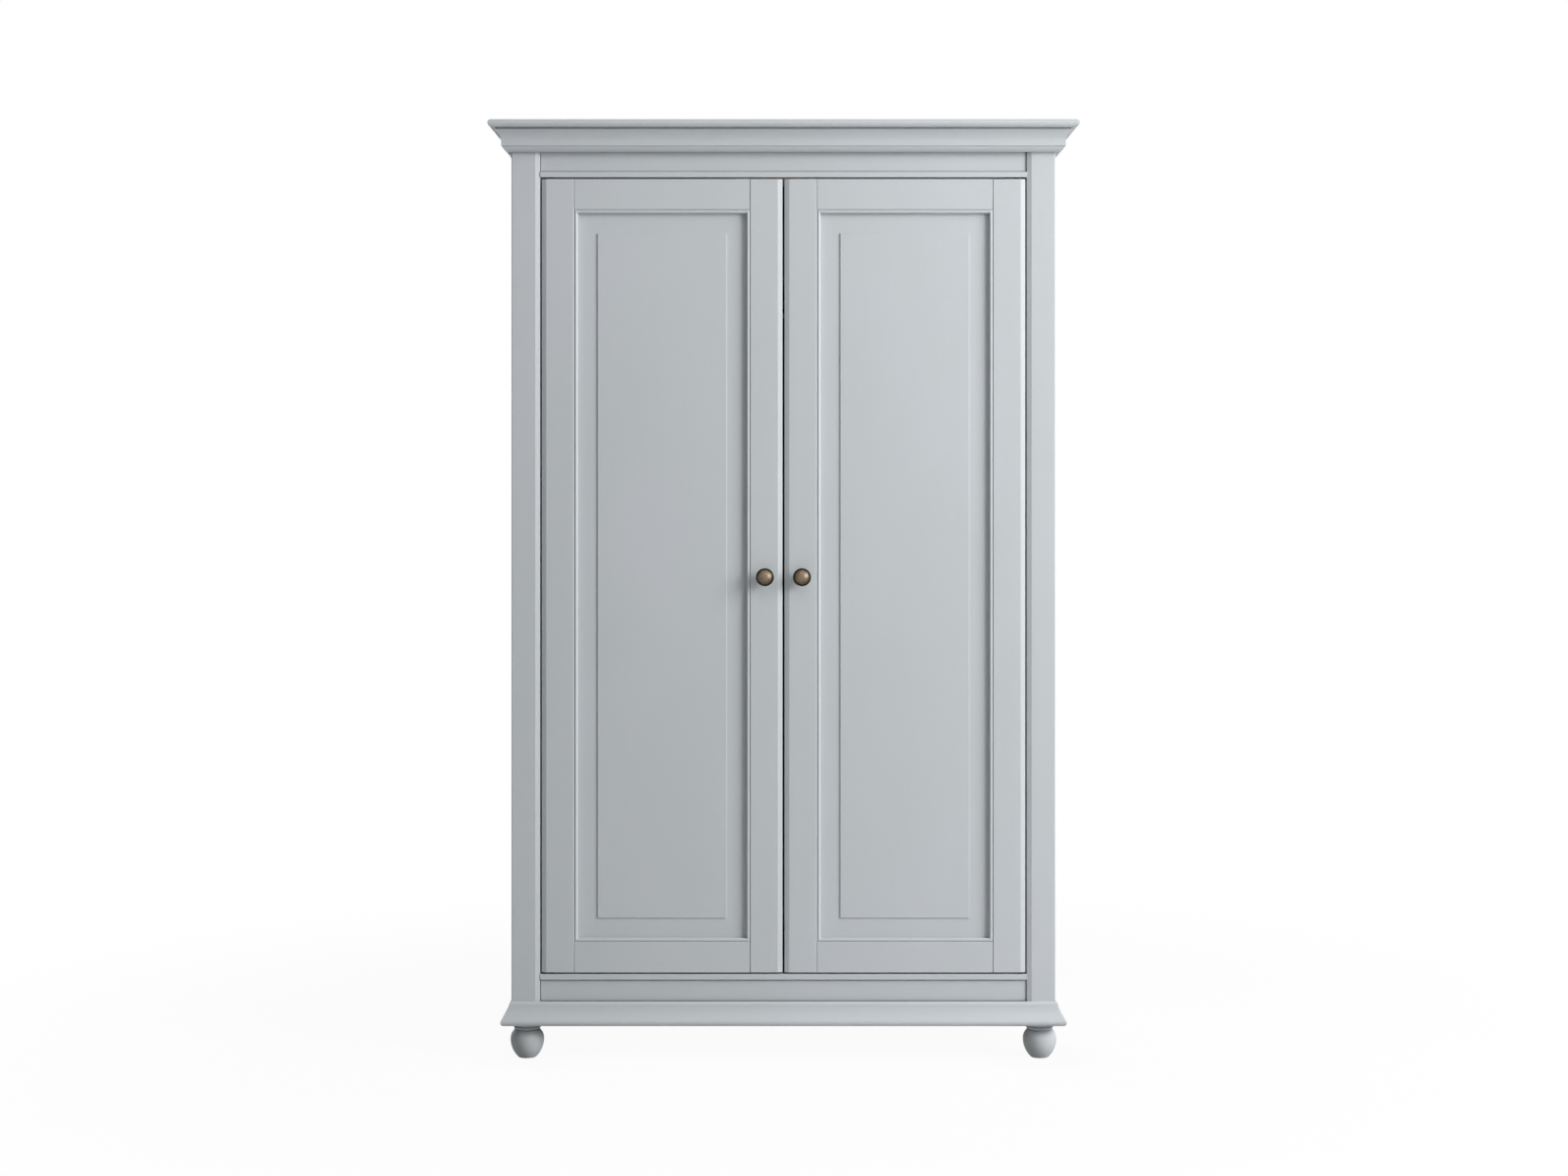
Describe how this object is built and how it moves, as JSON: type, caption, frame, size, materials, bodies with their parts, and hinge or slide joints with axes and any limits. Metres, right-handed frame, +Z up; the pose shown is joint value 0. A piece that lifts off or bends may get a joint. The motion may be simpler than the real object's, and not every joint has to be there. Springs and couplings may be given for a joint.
{
  "type": "wardrobe",
  "caption": "Free-standing painted wardrobe with hinged panelled doors, moulded cornice and base, turned bun feet, round brass knobs, and a hat shelf over a hanging rail.",
  "frame": {"origin": "on the floor, under the middle of the overall box", "axes": "+Z up, the doors face -Y, +X is to the right as seen from the front"},
  "size_m": [1.24, 0.6, 1.98],
  "materials": {
    "blue_grey_paint": "satin blue-grey paint on solid wood",
    "clear_pine": "clear matt lacquer on pine",
    "antique_brass": "antique brass, dark in the hollows",
    "bush_brass": "turned brass",
    "zinc_steel": "zinc plated",
    "rail_steel": "chromed tube",
    "catch_plastic": "moulded brown plastic"
  },
  "bodies": {
    "carcass": {"back_muntin": "blue_grey_paint", "back_panel_left": "clear_pine", "back_panel_right": "clear_pine", "back_rail_lower": "blue_grey_paint", "back_rail_upper": "blue_grey_paint", "base_moulding_front": "blue_grey_paint", "base_moulding_left": "blue_grey_paint", "base_moulding_right": "blue_grey_paint", "carcass_screws": "zinc_steel", "corner_post_front_left": "blue_grey_paint", "corner_post_front_right": "blue_grey_paint", "corner_post_rear_left": "blue_grey_paint", "corner_post_rear_right": "blue_grey_paint", "cornice_front": "blue_grey_paint", "cornice_left": "blue_grey_paint", "cornice_right": "blue_grey_paint", "door_stop": "clear_pine", "floor_board": "clear_pine", "foot_bolts": "zinc_steel", "foot_front_left": "blue_grey_paint", "foot_front_right": "blue_grey_paint", "foot_rear_left": "blue_grey_paint", "foot_rear_right": "blue_grey_paint", "frieze_rail": "blue_grey_paint", "hanging_rail": "rail_steel", "hat_shelf": "clear_pine", "head_strip": "blue_grey_paint", "magnetic_catches": "catch_plastic", "pivot_pins": "zinc_steel", "plinth_rail": "blue_grey_paint", "rail_brackets": "rail_steel", "shelf_battens": "clear_pine", "side_panel_left": "blue_grey_paint", "side_panel_right": "blue_grey_paint", "side_rail_lower_left": "blue_grey_paint", "side_rail_lower_right": "blue_grey_paint", "side_rail_upper_left": "blue_grey_paint", "side_rail_upper_right": "blue_grey_paint", "threshold_strip": "blue_grey_paint", "top_board": "blue_grey_paint"},
    "left_door": {"left_door_beads": "blue_grey_paint", "left_door_bottom_rail": "blue_grey_paint", "left_door_hinge_stile": "blue_grey_paint", "left_door_knob": "antique_brass", "left_door_knob_screw": "zinc_steel", "left_door_meeting_stile": "blue_grey_paint", "left_door_panel": "blue_grey_paint", "left_door_pivot_bushes": "bush_brass", "left_door_strike_plate": "zinc_steel", "left_door_top_rail": "blue_grey_paint"},
    "right_door": {"right_door_beads": "blue_grey_paint", "right_door_bottom_rail": "blue_grey_paint", "right_door_hinge_stile": "blue_grey_paint", "right_door_knob": "antique_brass", "right_door_knob_screw": "zinc_steel", "right_door_meeting_stile": "blue_grey_paint", "right_door_panel": "blue_grey_paint", "right_door_pivot_bushes": "bush_brass", "right_door_strike_plate": "zinc_steel", "right_door_top_rail": "blue_grey_paint"}
  },
  "joints": [
    {"name": "left_door_hinge", "type": "hinge", "parent": "carcass", "child": "left_door", "pos_m": [-0.4986, -0.244, 1.0219], "axis": [0, 0, -1], "range_deg": [0, 110]},
    {"name": "right_door_hinge", "type": "hinge", "parent": "carcass", "child": "right_door", "pos_m": [0.4986, -0.244, 1.0219], "axis": [0, 0, 1], "range_deg": [0, 110]}
  ]
}
